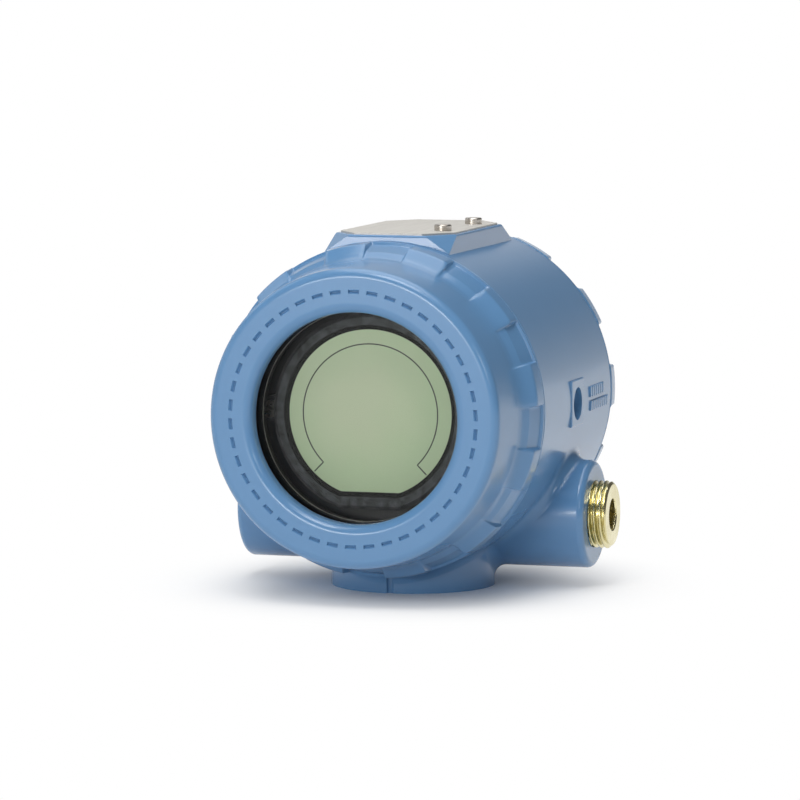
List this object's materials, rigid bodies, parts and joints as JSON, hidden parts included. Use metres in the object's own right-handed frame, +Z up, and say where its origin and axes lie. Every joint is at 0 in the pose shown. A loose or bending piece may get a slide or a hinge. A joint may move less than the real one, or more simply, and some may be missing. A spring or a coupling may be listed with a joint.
{
  "type": "temperature transmitter",
  "caption": "Blue cast field transmitter: round barrel with screwed display and terminal covers, side conduit entries, one plugged, top plate and round foot.",
  "frame": {"origin": "centre of the round foot's underside", "axes": "+Z up, -Y towards the display window, +X towards the plugged conduit entry"},
  "size_m": [0.1194, 0.1324, 0.1146],
  "materials": {
    "blue_paint": "semi-gloss polyurethane paint on die-cast aluminium",
    "seal_rubber": "matt black nitrile rubber",
    "window_glass": "clear flat glass",
    "black_anodised": "black anodised",
    "stainless": "fine brushed",
    "screw_steel": "plated",
    "yellow_zinc": "yellow zinc plate",
    "potted_module": "black moulded case",
    "switch_plastic": "white moulded",
    "bezel_plastic": "dark grey, fine texture",
    "lcd_glass": "grey-green display",
    "circuit_board": "green solder mask",
    "gold_pin": "gold plated",
    "terminal_plastic": "black moulded",
    "plated_clamp": "nickel plated"
  },
  "bodies": {
    "housing": {"housing": "blue_paint", "nameplate": "stainless", "nameplate_screws": "screw_steel", "captive_screws": "screw_steel", "terminal_screws": "screw_steel", "terminal_block_screws": "screw_steel", "earth_screw": "screw_steel", "electronics_module": "potted_module", "lcd_bezel": "bezel_plastic", "lcd_back": "bezel_plastic", "lcd_panel": "lcd_glass", "lcd_board": "circuit_board", "lcd_pins": "gold_pin", "link_pins": "gold_pin", "terminal_block": "terminal_plastic", "feedthrough": "terminal_plastic", "terminal_clamps": "plated_clamp", "earth_clamp": "plated_clamp"},
    "front_seal": {"front_cover_seal": "seal_rubber"},
    "front_cover": {"front_cover": "blue_paint", "window_gasket": "seal_rubber", "window_glass": "window_glass", "window_retainer": "black_anodised"},
    "rear_seal": {"rear_cover_seal": "seal_rubber"},
    "rear_cover": {"rear_cover": "blue_paint"},
    "plug": {"conduit_plug": "yellow_zinc"},
    "alarm_slider": {"alarm_switch": "switch_plastic"},
    "security_slider": {"security_switch": "switch_plastic"}
  },
  "joints": [
    {"name": "front_seal_travel", "type": "slide", "parent": "housing", "child": "front_seal", "axis": [0, -1, 0], "range_m": [0, 0.012]},
    {"name": "front_cover_turn", "type": "hinge", "parent": "front_seal", "child": "front_cover", "pos_m": [0, -0.0346, 0.0584], "axis": [0, -1, 0], "range_deg": [0, 2160]},
    {"name": "rear_seal_travel", "type": "slide", "parent": "housing", "child": "rear_seal", "axis": [0, 1, 0], "range_m": [0, 0.012]},
    {"name": "rear_cover_turn", "type": "hinge", "parent": "rear_seal", "child": "rear_cover", "pos_m": [0, 0.0493, 0.0584], "axis": [0, 1, 0], "range_deg": [0, 2160]},
    {"name": "plug_out", "type": "slide", "parent": "housing", "child": "plug", "axis": [1, 0, 0], "range_m": [0, 0.012]},
    {"name": "alarm_slide", "type": "slide", "parent": "housing", "child": "alarm_slider", "axis": [1, 0, 0], "range_m": [0, 0.0034]},
    {"name": "security_slide", "type": "slide", "parent": "housing", "child": "security_slider", "axis": [1, 0, 0], "range_m": [0, 0.0034]}
  ],
  "couplings": [
    {"joint": "front_seal_travel", "follows": "front_cover_turn", "m_per_rad": 0.00031831},
    {"joint": "rear_seal_travel", "follows": "rear_cover_turn", "m_per_rad": 0.00031831}
  ]
}
